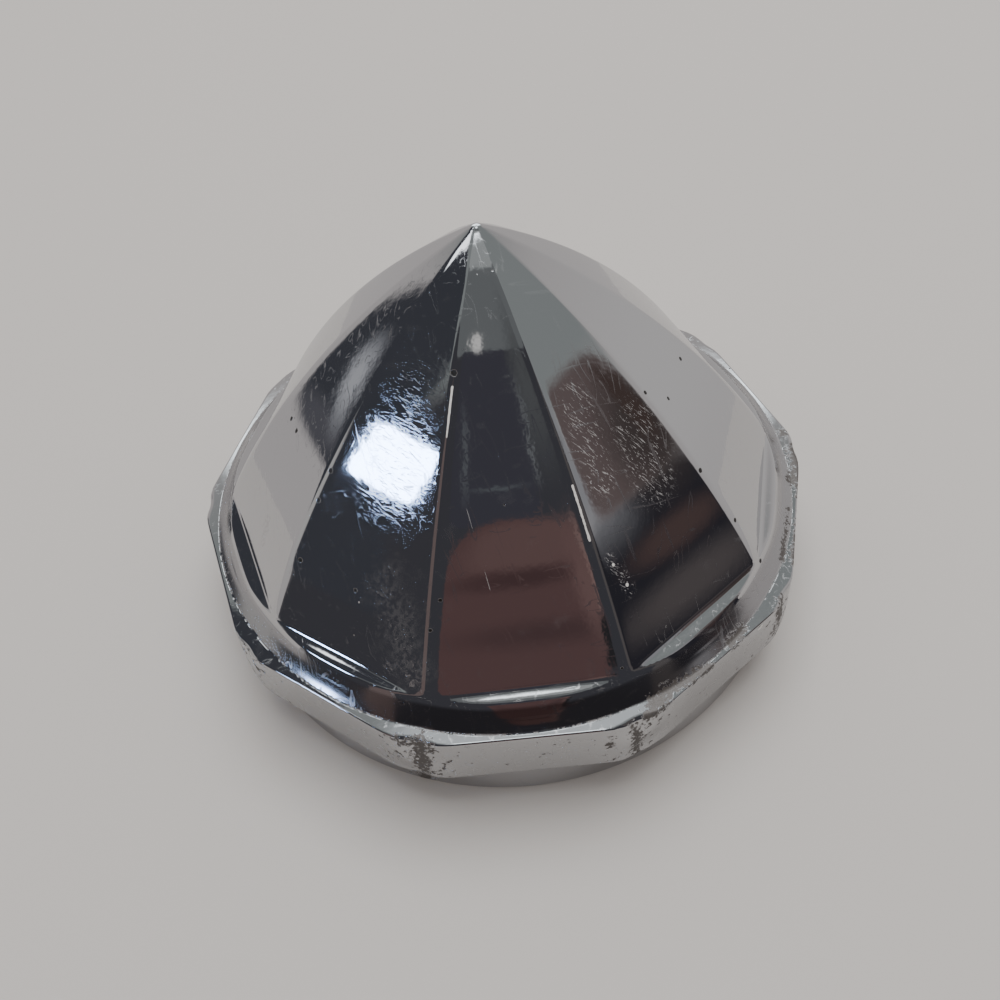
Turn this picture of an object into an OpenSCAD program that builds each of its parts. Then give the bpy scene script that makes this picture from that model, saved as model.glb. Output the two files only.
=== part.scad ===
// Knock-off hub nut of a wire wheel, cast in one piece and chrome plated.
// It stands on the end face of its round boss: z = 0 is that face and +Z runs to the tip.
// A wrench flat and a facet of the cap face -Y.

/* [Wrench flange] */
// Width across two opposite wrench flats
flats_w = 84; // [78:0.5:96]
// Number of wrench flats, and of facets on the cap
side_count = 10; // [8:1:12]
// Height of the wrench flats
flange_h = 8.9; // [6:0.1:14]
// How far the turned corners stand in from the sharp corners of the flats
corner_cut = 0.5; // [0.2:0.05:0.8]
// Bevel along the edges of the wrench flats
edge_bevel = 0.4; // [0.2:0.05:0.8]
// How much larger the bevel at the turned corners is
corner_bevel_extra = 0.3; // [0.1:0.05:0.6]

/* [Round boss] */
// Height of the boss under the flange
boss_h = 7.4; // [4:0.1:14]
// How far the boss stands in from the wrench flats
boss_step = 1; // [0.5:0.1:5]
// Bevel at the foot of the boss
boss_bevel = 0.6; // [0.3:0.1:1.5]

/* [Pointed cap] */
// Height of the point above the flange, before the tip is rounded
cap_h = 42.3; // [34:0.1:56]
// Radius of the bulge of the facets along their height
facet_r = 115; // [90:1:220]
// Turn of the facets against the wrench flats, in degrees
facet_turn = 1.2; // [0:0.1:6]
// Height above the flange at which the facets end
facet_foot_h = 3; // [2.6:0.1:6]
// Radius of the hollow at the foot of each facet
foot_fillet_r = 1; // [0.5:0.1:1.5]
// Angle at the axis that the narrow land on each ridge takes up
land_angle = 1.4; // [1.1:0.1:3]
// Radius of the rounded tip
tip_r = 1; // [0.5:0.1:3]
// Width of the level land between the wrench flats and the shoulder
level_w = 0.6; // [0.3:0.1:2]
// Width of the hollow shoulder between that land and the feet of the ridges
shoulder_w = 2.65; // [2.4:0.05:3]
// Radius of the shoulder's hollow section
shoulder_hollow_r = 6; // [5:0.1:7]
// Height above the flange at which the run-out below each facet ends
run_out_h = 1.65; // [1.2:0.05:2]

/* [Inside] */
// Bore through the crests of the hub thread
bore_d = 48.6; // [38:0.1:54]
// Length of the threaded wall
thread_l = 17; // [10:0.5:20]
// Bevel at the mouth of the bore
mouth_bevel = 2; // [1:0.1:3]
// How far the run-out behind the thread is wider than the bore, on the radius
relief_depth = 2.5; // [2:0.1:4]
// Thickness of the cap's wall behind the facets
wall_t = 7; // [4:0.1:9]
// Radius of the top of the hollow
hollow_tip_r = 5; // [2:0.1:8]

/* [Hidden] */
$fn = 128;
half_side = 180 / side_count;
side_step = 2 * half_side;
front_angle = -90;
flat_r = flats_w / 2;
corner_r = flat_r / cos(half_side) - corner_cut;
corner_bevel = edge_bevel + corner_bevel_extra;
boss_r = flat_r - boss_step;
flange_top = boss_h + flange_h;
root_r = flat_r - level_w;
ridge_foot_r = root_r - shoulder_w;
shoulder_centre = arc_centre([ridge_foot_r, facet_foot_h], [root_r, 0], shoulder_hollow_r);
// Distance from the axis to a ridge's land, for each unit of distance to a facet
land_scale = cos(land_angle / 2) / cos(half_side - land_angle / 2);
// Foot and point of the arc that a facet follows, as distance from the axis and height
foot = [ridge_foot_r / land_scale, facet_foot_h];
point = [0, cap_h];
facet_centre = arc_centre(foot, point, facet_r);
// The land on a ridge follows the same arc, spread outwards and a hair lower at the point,
// so that the two surfaces cross clearly
land_drop = 0.03;
facet_middle = arc_middle(facet_centre, facet_r, foot, point);
land_point = point - [0, land_drop];
land_centre = three_point_centre(spread(foot), spread(facet_middle), land_point);
land_r = norm(land_point - land_centre);
// The facets stop on a small ring under the point, as a share of the tip's radius,
// and the ball of the tip covers that ring with a little to spare
ring_share = 0.6;
cover_margin = 1.02;
ring_h = facet_centre.y + sqrt(pow(facet_r, 2) - pow(ring_share * tip_r - facet_centre.x, 2));
cover_share = cover_margin * ring_share / cos(half_side);
tip_ball_h = ring_h - tip_r * sqrt(1 - pow(cover_share, 2));
// Where the sloping run-out of a facet leaves the shoulder, and how far its line is carried on
run_out_end = [shoulder_r(run_out_h), run_out_h];
run_out_lap = 0.125;
bore_r = bore_d / 2;
thread_top = mouth_bevel + thread_l;
relief_r = bore_r + relief_depth;
// Overlap that makes joined and cut shapes pass clearly through each other
lap = 1;
// Widths of the cutters for a facet and for a ridge's land, and the depth of a facet's cutter
facet_cut_w = 2 * (run_out_end.x + lap) * tan(half_side);
land_cut_w = 3;
facet_cut_depth = 3;
// Reach of the cutters, past everything
reach = flats_w;

function spread(p) = [p.x * land_scale, p.y];
function left_normal(v) = [-v.y, v.x] / norm(v);

// Radius of the hollow shoulder at a height above the flange
function shoulder_r(h) = shoulder_centre.x - sqrt(pow(shoulder_hollow_r, 2) - pow(h - shoulder_centre.y, 2));

// Centre of the arc from a to b that bulges to the right of that way
function arc_centre(a, b, r) =
    let (half = (b - a) / 2)
    a + half + left_normal(half) * sqrt(r * r - half * half);

function arc_middle(centre, r, a, b) =
    let (out = (a + b) / 2 - centre)
    centre + out * r / norm(out);

function three_point_centre(a, b, c) =
    let (
        ab = b - a,
        ac = c - a,
        twist = 2 * (ab.x * ac.y - ab.y * ac.x)
    )
    a + [ac.y * (ab * ab) - ab.y * (ac * ac), ab.x * (ac * ac) - ac.x * (ab * ab)] / twist;

// Height at which a ball on the axis touches the arc from inside
function ball_height(centre, r, ball_r) = centre.y + sqrt(pow(r - ball_r, 2) - centre.x * centre.x);

// Half section inside an arc that runs up to the axis, with a rounded tip
module pointed_section(centre, r, ball_r) {
    ball = [0, ball_height(centre, r, ball_r)];
    out = (ball - centre) / norm(ball - centre);
    intersection() {
        union() {
            intersection() {
                translate(centre) circle(r);
                polygon([ball, ball + out * reach, [reach, 0], [0, 0]]);
            }
            translate(ball) circle(ball_r);
        }
        square(reach);
    }
}

// What is cut away from a ridge to leave its narrow land
module land_section() {
    difference() {
        translate([-lap, facet_foot_h - lap]) square(reach);
        translate(land_centre) circle(land_r);
    }
}

// What is cut away from a facet: outside its arc and above its run-out, with a rounded inner corner
module facet_section() {
    down = (run_out_end - foot) / norm(run_out_end - foot);
    up = left_normal(down);
    start = foot + up * foot_fillet_r - facet_centre;
    slide = sqrt(pow(start * down, 2) - start * start + pow(facet_r + foot_fillet_r, 2)) - start * down;
    corner = start + facet_centre + down * slide;
    inward = (facet_centre - corner) / norm(facet_centre - corner);
    union() {
        difference() {
            polygon([
                corner,
                corner - up * foot_fillet_r,
                run_out_end,
                run_out_end + down * run_out_lap,
                [reach, run_out_end.y],
                [reach, reach],
                [-lap, reach],
                [-lap, cap_h - lap],
                corner + inward * facet_cut_depth
            ]);
            translate(facet_centre) circle(facet_r);
        }
        translate(corner) circle(foot_fillet_r);
    }
}

// One beveled edge of the flange, cut along a wrench flat
module edge_cut(height) {
    translate([flat_r, 0, height])
        rotate([0, 45, 0])
            cube([edge_bevel * sqrt(2), reach, edge_bevel * sqrt(2)], center = true);
}

module wrench_flange() {
    difference() {
        intersection() {
            rotate([0, 0, front_angle + half_side])
                translate([0, 0, boss_h])
                    cylinder(r = flat_r / cos(half_side), h = flange_h, $fn = side_count);
            rotate_extrude()
                polygon([
                    [0, boss_h],
                    [corner_r - corner_bevel, boss_h],
                    [corner_r, boss_h + corner_bevel],
                    [corner_r, flange_top - corner_bevel],
                    [corner_r - corner_bevel, flange_top],
                    [0, flange_top]
                ]);
        }
        for (side = [0 : side_count - 1])
            rotate([0, 0, front_angle + side * side_step]) {
                edge_cut(boss_h);
                edge_cut(flange_top);
            }
    }
}

module boss() {
    rotate_extrude()
        polygon([
            [0, 0],
            [boss_r - boss_bevel, 0],
            [boss_r, boss_bevel],
            [boss_r, boss_h + lap],
            [0, boss_h + lap]
        ]);
}

// Round blank of the cap: the hollow shoulder and a stub that holds all the facets.
// Its seam is turned to a quarter of a side, away from the ridges and the middles of the facets
module cap_blank() {
    stub_foot_h = facet_foot_h + lap;
    rotate([0, 0, front_angle + half_side / 2])
        rotate_extrude()
            union() {
                difference() {
                    translate([0, -lap]) square([root_r, lap + stub_foot_h]);
                    translate(shoulder_centre) circle(shoulder_hollow_r);
                }
                square([shoulder_r(stub_foot_h), ring_h]);
            }
}

// A section in distance and height, swept straight along one side of the cap
module along_side(side, width) {
    rotate([0, 0, front_angle + facet_turn + side * side_step])
        rotate([90, 0, 0])
            linear_extrude(height = width, center = true) children();
}

// The blank with the first cuts made: one for each facet, then one for each ridge's land
module cut_blank(cuts) {
    if (cuts == 0) {
        cap_blank();
    } else {
        side = cuts - 1;
        difference() {
            cut_blank(cuts - 1);
            if (side < side_count) {
                along_side(side, facet_cut_w) facet_section();
            } else {
                along_side(side + 0.5, land_cut_w) land_section();
            }
        }
    }
}

module faceted_cap() {
    translate([0, 0, flange_top]) {
        cut_blank(2 * side_count);
        translate([0, 0, tip_ball_h]) sphere(tip_r);
    }
}

// Bore, run-out and the hollow behind the facets
module inside() {
    rotate_extrude()
        union() {
            square([bore_r, thread_top + lap]);
            polygon([[0, -lap], [bore_r + mouth_bevel + lap, -lap], [bore_r, mouth_bevel], [0, mouth_bevel]]);
            intersection() {
                translate([0, flange_top]) pointed_section(facet_centre, facet_r - wall_t, hollow_tip_r);
                translate([0, thread_top]) square([relief_r, reach]);
            }
        }
}

module hub_nut() {
    color("silver")
        difference() {
            union() {
                boss();
                wrench_flange();
                faceted_cap();
            }
            inside();
        }
}

hub_nut();
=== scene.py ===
import logging
import math
from dataclasses import dataclass
from functools import reduce
from typing import Sequence, Union

import bpy
import numpy as np
from mathutils import Matrix, Vector


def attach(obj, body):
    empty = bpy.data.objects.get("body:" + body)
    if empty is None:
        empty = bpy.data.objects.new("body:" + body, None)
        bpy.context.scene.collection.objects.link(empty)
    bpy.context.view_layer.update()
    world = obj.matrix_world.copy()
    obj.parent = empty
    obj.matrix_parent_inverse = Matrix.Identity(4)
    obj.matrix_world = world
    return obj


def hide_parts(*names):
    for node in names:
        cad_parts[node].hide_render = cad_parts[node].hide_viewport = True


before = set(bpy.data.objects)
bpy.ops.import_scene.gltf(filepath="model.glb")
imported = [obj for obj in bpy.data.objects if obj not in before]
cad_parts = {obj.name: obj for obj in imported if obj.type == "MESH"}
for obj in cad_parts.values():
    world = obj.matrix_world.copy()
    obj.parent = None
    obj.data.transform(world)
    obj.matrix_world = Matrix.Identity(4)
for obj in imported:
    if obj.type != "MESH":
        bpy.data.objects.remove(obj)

log = logging.getLogger("hub_nut_scene")

NODE = "hub_nut"
BODY = "root"
MM = 0.001
NEVER_ZERO = 1e-9

Term = Union["Signal", int, float]
Value = Union["Signal", int, float, Sequence[float]]
Color = tuple[float, float, float]
Point = tuple[float, float, float]
Ring = tuple[float, np.ndarray]


# ---------------------------------------------------------------- helpers


def deselect_all() -> None:
    """Leave edit mode and clear the selection."""
    if bpy.context.object is not None and bpy.context.object.mode != "OBJECT":
        bpy.ops.object.mode_set(mode="OBJECT")
    bpy.ops.object.select_all(action="DESELECT")


def select_only(piece: bpy.types.Object) -> None:
    """Select one piece and make it the active one.

    Args:
        piece: The piece.
    """
    deselect_all()
    piece.select_set(True)
    bpy.context.view_layer.objects.active = piece


def take_new(name: str) -> bpy.types.Object:
    """Name the object that a primitive operator has just added.

    Args:
        name: Its new name, also for its data.

    Returns:
        The object.
    """
    piece = bpy.context.object
    piece.name = piece.data.name = name
    return piece


def coordinates(mesh: bpy.types.Mesh) -> np.ndarray:
    """Read a mesh's vertices.

    Args:
        mesh: The mesh to read.

    Returns:
        One row of x, y and z for each vertex.
    """
    flat = np.empty(len(mesh.vertices) * 3)
    mesh.vertices.foreach_get("co", flat)
    return flat.reshape(-1, 3)


def place(mesh: bpy.types.Mesh, points: np.ndarray) -> None:
    """Write a mesh's vertices, with one row of x, y and z for each."""
    mesh.vertices.foreach_set("co", np.asarray(points, float).ravel())
    mesh.update()


def soft_minimum(first: np.ndarray, second: np.ndarray, width: float) -> np.ndarray:
    """Take the smaller of two values, rounded off where they differ by less than a width."""
    overlap = np.maximum(width - np.abs(first - second), 0) / width
    return np.minimum(first, second) - overlap**2 * width / 4


def half_chord(radius: float, off: float) -> float:
    """Half the width of a circle at a distance from its centre, or 0 outside it."""
    return math.sqrt(max(radius**2 - off**2, 0))


def finish_outwards() -> None:
    """Point all faces of the active mesh outwards, and leave edit mode."""
    bpy.ops.mesh.select_all(action="SELECT")
    bpy.ops.mesh.normals_make_consistent(inside=False)
    bpy.ops.object.mode_set(mode="OBJECT")


def close_up(piece: bpy.types.Object, merge_distance: float) -> None:
    """Merge the seam and the poles of a wrapped grid, and point its faces outwards.

    Args:
        piece: The piece to close.
        merge_distance: Vertices nearer to each other than this become one.
    """
    select_only(piece)
    bpy.ops.object.mode_set(mode="EDIT")
    bpy.ops.mesh.select_all(action="SELECT")
    bpy.ops.mesh.remove_doubles(threshold=merge_distance)
    finish_outwards()


def smooth_shade(piece: bpy.types.Object, degrees: float) -> None:
    """Shade a piece smooth, but for the edges whose faces meet at more than an angle."""
    select_only(piece)
    bpy.ops.object.shade_smooth_by_angle(angle=math.radians(degrees))


def dress(piece: bpy.types.Object, *materials: bpy.types.Material) -> None:
    """Give a piece its materials.

    Args:
        piece: The piece to dress.
        materials: The materials, in the order of its faces' material numbers.
    """
    piece.data.materials.clear()
    for material in materials:
        piece.data.materials.append(material)


# ---------------------------------------------------------------- shader maths


class Signal:
    """An output socket that can be used in Python expressions."""

    def __init__(self, tree: bpy.types.NodeTree, socket: bpy.types.NodeSocket) -> None:
        """Wrap a socket of a node tree."""
        self.tree = tree
        self.socket = socket

    def math(self, operation: str, *others: Term, swap: bool = False) -> "Signal":
        """Add a Math node.

        Args:
            operation: The node's operation.
            others: The other values of the operation.
            swap: Whether this value comes last.

        Returns:
            The node's result.
        """
        values = [*others, self] if swap else [self, *others]
        node = add_node(self.tree, "ShaderNodeMath", {"operation": operation}, dict(enumerate(values)))
        return Signal(self.tree, node.outputs[0])

    def __add__(self, other: Term) -> "Signal":
        """Return the sum."""
        return self.math("ADD", other)

    def __sub__(self, other: Term) -> "Signal":
        """Return the difference."""
        return self.math("SUBTRACT", other)

    def __rsub__(self, other: Term) -> "Signal":
        """Return what is left of the value on the left."""
        return self.math("SUBTRACT", other, swap=True)

    def __mul__(self, other: Term) -> "Signal":
        """Return the product."""
        return self.math("MULTIPLY", other)

    def __abs__(self) -> "Signal":
        """Return the size without the sign."""
        return self.math("ABSOLUTE")

    __radd__ = __add__
    __rmul__ = __mul__

    def least(self, other: Term) -> "Signal":
        """Return the smaller of the two."""
        return self.math("MINIMUM", other)

    def most(self, other: Term) -> "Signal":
        """Return the larger of the two."""
        return self.math("MAXIMUM", other)

    def step(self, low: float, high: float) -> "Signal":
        """Rise smoothly from 0 to 1.

        Args:
            low: The value that gives 0.
            high: The value that gives 1. The mask falls where this is below the other.

        Returns:
            The mask.
        """
        start, end = (0.0, 1.0) if low < high else (1.0, 0.0)
        node = add_node(self.tree, "ShaderNodeMapRange", {"interpolation_type": "SMOOTHSTEP"}, {
            "Value": self, "From Min": min(low, high), "From Max": max(low, high),
            "To Min": start, "To Max": end})
        return Signal(self.tree, node.outputs["Result"])

    def band(self, low: float, high: float, soft: float) -> "Signal":
        """Give 1 between two values and fall to 0 outside them, over a soft width at each."""
        return self.step(low - soft / 2, low + soft / 2) * self.step(high + soft / 2, high - soft / 2)


def most_of(masks: Sequence[Signal]) -> Signal:
    """Return the largest of several masks."""
    return reduce(Signal.most, masks)


def connect(tree: bpy.types.NodeTree, socket: bpy.types.NodeSocket, value: Value) -> None:
    """Link a signal to a socket, or set the socket's own value.

    Args:
        tree: The node tree.
        socket: The input socket.
        value: A signal, a number, a vector or a colour.
    """
    if isinstance(value, Signal):
        tree.links.new(value.socket, socket)
    elif isinstance(value, (int, float)):
        socket.default_value = value
    else:
        opaque = (1.0,) if socket.type == "RGBA" else ()
        socket.default_value = (*value, *opaque)


def add_node(tree: bpy.types.NodeTree, kind: str, settings: dict[str, object],
             inputs: dict[Union[str, int], Value]) -> bpy.types.Node:
    """Add any node.

    Args:
        tree: The node tree.
        kind: The node's type.
        settings: The node's own properties, set first.
        inputs: Values or signals for its sockets, by name or by number.

    Returns:
        The new node.
    """
    node = tree.nodes.new(kind)
    for name, value in settings.items():
        setattr(node, name, value)
    for key, value in inputs.items():
        connect(tree, node.inputs[key], value)
    return node


class Finish:
    """Node tree of a material or of the world, with the few nodes that the finishes use."""

    def __init__(self, owner: Union[bpy.types.Material, bpy.types.World]) -> None:
        """Start with an empty tree.

        Args:
            owner: The material or the world.
        """
        owner.use_nodes = True
        self.tree = owner.node_tree
        self.tree.nodes.clear()

    def node(self, kind: str, settings: dict[str, object], inputs: dict[Union[str, int], Value],
             output: Union[str, int] = 0) -> Signal:
        """Add any node and return one of its outputs."""
        return Signal(self.tree, add_node(self.tree, kind, settings, inputs).outputs[output])

    def place_on_object(self) -> Signal:
        """Return the point in the part's own frame, in metres."""
        return self.node("ShaderNodeTexCoord", {}, {}, "Object")

    def millimetres(self) -> Signal:
        """Return the point in the part's own frame, in millimetres."""
        return self.turned(self.place_on_object(), (0, 0, 0), (1 / MM, 1 / MM, 1 / MM))

    def axes(self, vector: Signal) -> list[Signal]:
        """Return a vector's three parts."""
        parts = self.node("ShaderNodeSeparateXYZ", {}, {"Vector": vector}).socket.node.outputs
        return [Signal(self.tree, part) for part in parts]

    def turned(self, vector: Signal, turn: Point, scale: Point, shift: Point = (0, 0, 0)) -> Signal:
        """Turn and stretch the coordinates of a pattern.

        Args:
            vector: The coordinates.
            turn: Angles about x, y and z by which the pattern is turned, in degrees.
            scale: Repeats for each unit along the pattern's own x, y and z.
            shift: Shift of the pattern.

        Returns:
            The new coordinates.
        """
        return self.node("ShaderNodeMapping", {"vector_type": "TEXTURE"}, {
            "Vector": vector, "Rotation": [math.radians(angle) for angle in turn],
            "Scale": [1 / part for part in scale], "Location": shift})

    def noise(self, vector: Signal, scale: float, detail: float, roughness: float = 0.5) -> Signal:
        """Return a smooth random pattern between 0 and 1."""
        return self.node("ShaderNodeTexNoise", {}, {
            "Vector": vector, "Scale": scale, "Detail": detail, "Roughness": roughness})

    def cells(self, vector: Signal, scale: float) -> Signal:
        """Return the distance to the nearest of many scattered points."""
        return self.node("ShaderNodeTexVoronoi", {}, {"Vector": vector, "Scale": scale}, "Distance")

    def blend(self, factor: Term, first: Value, second: Value) -> Signal:
        """Mix two colours, with the Mix node's sockets for colours."""
        return self.node("ShaderNodeMix", {"data_type": "RGBA"}, {0: factor, 6: first, 7: second}, 2)

    def distance(self, vector: Signal, point: Value) -> Signal:
        """Return the distance between two points."""
        return self.node("ShaderNodeVectorMath", {"operation": "DISTANCE"}, {0: vector, 1: point}, "Value")

    def distance_to_line(self, vector: Signal, start: Point, end: Point) -> Signal:
        """Measure the distance from a straight line between two fixed points.

        Args:
            vector: The point to measure from.
            start: One end of the line.
            end: Its other end.

        Returns:
            The distance.
        """
        along = Vector(end) - Vector(start)
        share = self.node("ShaderNodeVectorMath", {"operation": "DOT_PRODUCT"}, {
            0: vector, 1: along / along.length_squared}, "Value")
        share = (share - Vector(start).dot(along) / along.length_squared).most(0).least(1)
        return self.distance(vector, self.node("ShaderNodeVectorMath", {"operation": "MULTIPLY_ADD"}, {
            0: share, 1: along, 2: start}))

    def bump(self, height: Signal, distance: float) -> Signal:
        """Turn a height pattern, whose 1 stands for a distance in metres, into a normal."""
        return self.node("ShaderNodeBump", {}, {"Height": height, "Strength": 1.0, "Distance": distance})

    def surface(self, shader: Signal) -> None:
        """Make a shader the tree's surface."""
        kind = "World" if shader.socket.node.type == "BACKGROUND" else "Material"
        add_node(self.tree, "ShaderNodeOutput" + kind, {}, {"Surface": shader})


# ---------------------------------------------------------------- the nut


@dataclass(frozen=True)
class NutSizes:
    """The nut's sizes in metres and degrees.

    They are those of its solid, but for the sharper edges of the wrench flats and the slopes of the shelves
    below the facets.
    """

    flats_width: float = 84 * MM
    sides: int = 10
    flange_height: float = 8.9 * MM
    corner_cut: float = 0.5 * MM
    edge_bevel: float = 0.22 * MM
    corner_bevel: float = 0.7 * MM
    boss_height: float = 7.4 * MM
    boss_step: float = 1 * MM
    boss_bevel: float = 0.6 * MM
    cap_height: float = 42.3 * MM
    facet_radius: float = 115 * MM
    facet_turn: float = 1.2
    facet_foot: float = 3 * MM
    foot_fillet: float = 1 * MM
    land_angle: float = 1.4
    tip_radius: float = 1 * MM
    level_width: float = 0.6 * MM
    shoulder_width: float = 2.65 * MM
    shoulder_hollow: float = 6 * MM
    run_out_height: float = 1.65 * MM
    shelf_slope: float = 11.3
    shelf_edge_slope: float = 47.0
    shelf_edge_wear: float = 0.55 * MM
    bore_radius: float = 24.3 * MM
    thread_length: float = 17 * MM
    mouth_bevel: float = 2 * MM
    relief_depth: float = 2.5 * MM
    wall: float = 7 * MM
    hollow_tip_radius: float = 5 * MM

    @property
    def half_side(self) -> float:
        """Half the angle of one side, in radians."""
        return math.pi / self.sides

    @property
    def flat_radius(self) -> float:
        """Distance from the axis to a wrench flat."""
        return self.flats_width / 2

    @property
    def corner_radius(self) -> float:
        """Radius of the turned corners of the flange."""
        return self.flat_radius / math.cos(self.half_side) - self.corner_cut

    @property
    def flange_top(self) -> float:
        """Height of the flange's upper face."""
        return self.boss_height + self.flange_height

    @property
    def root_radius(self) -> float:
        """Radius at which the hollow shoulder starts on the flange."""
        return self.flat_radius - self.level_width

    @property
    def ridge_foot_radius(self) -> float:
        """Radius of the foot of the ridges, where the hollow shoulder ends."""
        return self.root_radius - self.shoulder_width

    @property
    def thread_top(self) -> float:
        """Height of the inner end of the threaded wall."""
        return self.mouth_bevel + self.thread_length

    @property
    def relief_radius(self) -> float:
        """Radius of the run-out behind the thread."""
        return self.bore_radius + self.relief_depth


class CapSection:
    """Half section of the cap: how far its surfaces stand from the axis at a height above the flange."""

    lap = 1 * MM
    run_out_lap = 0.5 * MM
    ring_share = 0.6
    cover_margin = 1.02

    def __init__(self, sizes: NutSizes) -> None:
        """Work out the arcs of the facets, of the ridges' lands and of the hollow behind them.

        Args:
            sizes: The nut's sizes.
        """
        self.sizes = sizes
        low = np.array([sizes.root_radius, 0.0])
        high = np.array([sizes.ridge_foot_radius, sizes.facet_foot])
        self.shoulder_centre = self.arc_centre(high, low, sizes.shoulder_hollow)
        half_land = math.radians(sizes.land_angle) / 2
        self.land_scale = math.cos(half_land) / math.cos(sizes.half_side - half_land)
        foot = np.array([sizes.ridge_foot_radius / self.land_scale, sizes.facet_foot])
        point = np.array([0.0, sizes.cap_height])
        self.centre = self.arc_centre(foot, point, sizes.facet_radius)
        self.run_out_end = np.array([self.blank(sizes.run_out_height), sizes.run_out_height])
        slope = math.radians(sizes.shelf_slope)
        down = np.array([math.cos(slope), -math.sin(slope)])
        up = np.array([-down[1], down[0]])
        start = foot + up * sizes.foot_fillet - self.centre
        reach = sizes.facet_radius + sizes.foot_fillet
        slide = math.sqrt((start @ down) ** 2 - start @ start + reach**2) - start @ down
        self.corner = start + self.centre + down * slide
        inward = (self.centre - self.corner) / np.linalg.norm(self.centre - self.corner)
        self.fillet_top = self.corner + inward * sizes.foot_fillet
        self.fillet_bottom = self.corner - up * sizes.foot_fillet
        ring_radius = self.ring_share * sizes.tip_radius
        self.ring_height = self.centre[1] + half_chord(sizes.facet_radius, ring_radius - self.centre[0])
        cover_share = self.cover_margin * self.ring_share / math.cos(sizes.half_side)
        self.ball_height = self.ring_height - sizes.tip_radius * half_chord(1, cover_share)
        self.inner_radius = sizes.facet_radius - sizes.wall
        ball_reach = half_chord(self.inner_radius - sizes.hollow_tip_radius, self.centre[0])
        self.hollow_ball = self.centre[1] + ball_reach
        self.hollow_top = self.hollow_ball + sizes.hollow_tip_radius

    @staticmethod
    def arc_centre(first: np.ndarray, last: np.ndarray, radius: float) -> np.ndarray:
        """Centre of the arc between two points that bulges away from the axis.

        Args:
            first: Lower end of the arc.
            last: Upper end of the arc.
            radius: The arc's radius.

        Returns:
            The centre, as distance from the axis and height.
        """
        half = (last - first) / 2
        normal = np.array([-half[1], half[0]]) / np.linalg.norm(half)
        return first + half + normal * math.sqrt(radius**2 - half @ half)

    def arc(self, height: float, radius: float) -> float:
        """Distance from the axis to an arc round the centre of the facets' arc."""
        return self.centre[0] + half_chord(radius, height - self.centre[1])

    @staticmethod
    def slope(top: np.ndarray, degrees: float, height: float) -> float:
        """Distance from the axis to a line that falls outwards from a point."""
        return top[0] + (top[1] - height) / math.tan(math.radians(degrees))

    def facet(self, height: float) -> float:
        """Distance from the axis to a facet's middle line, with its run-out and fillet.

        Args:
            height: Height above the flange.

        Returns:
            The distance, or infinity where no facet is cut.
        """
        sizes = self.sizes
        if height < self.run_out_end[1] - self.run_out_lap:
            return math.inf
        if height < self.fillet_bottom[1]:
            shelf = self.slope(self.fillet_bottom, sizes.shelf_slope, height)
            edge = self.slope(self.run_out_end, sizes.shelf_edge_slope, height)
            return float(soft_minimum(shelf, edge, sizes.shelf_edge_wear))
        if height < self.fillet_top[1]:
            return self.corner[0] - half_chord(sizes.foot_fillet, height - self.corner[1])
        return self.arc(height, sizes.facet_radius)

    def land(self, height: float) -> float:
        """Distance from the axis to the land on a ridge, or infinity below the land."""
        reaches = height >= self.sizes.facet_foot - self.lap
        return self.arc(height, self.sizes.facet_radius) * self.land_scale if reaches else math.inf

    def blank(self, height: float) -> float:
        """Radius of the cap before its facets are cut, with its hollow shoulder."""
        rise = min(height, self.sizes.facet_foot + self.lap) - self.shoulder_centre[1]
        return self.shoulder_centre[0] - half_chord(self.sizes.shoulder_hollow, rise)

    def ball(self, height: float) -> float:
        """Radius of the rounded tip at a height."""
        return half_chord(self.sizes.tip_radius, height - self.ball_height)

    def hollow(self, height: float) -> float:
        """Radius of the hollow behind the facets.

        Args:
            height: Height above the flange.

        Returns:
            The radius, which ends in a ball and is no wider than the run-out behind the thread.
        """
        tip = self.sizes.hollow_tip_radius
        contact = self.hollow_ball + tip * (self.hollow_ball - self.centre[1]) / (self.inner_radius - tip)
        if height > contact:
            return half_chord(tip, height - self.hollow_ball)
        return min(self.arc(height, self.inner_radius), self.sizes.relief_radius)


@dataclass(frozen=True)
class Knock:
    """A dent left by a hammer or a spanner, in degrees and millimetres."""

    azimuth: float
    height: float
    radius: float
    depth: float


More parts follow.
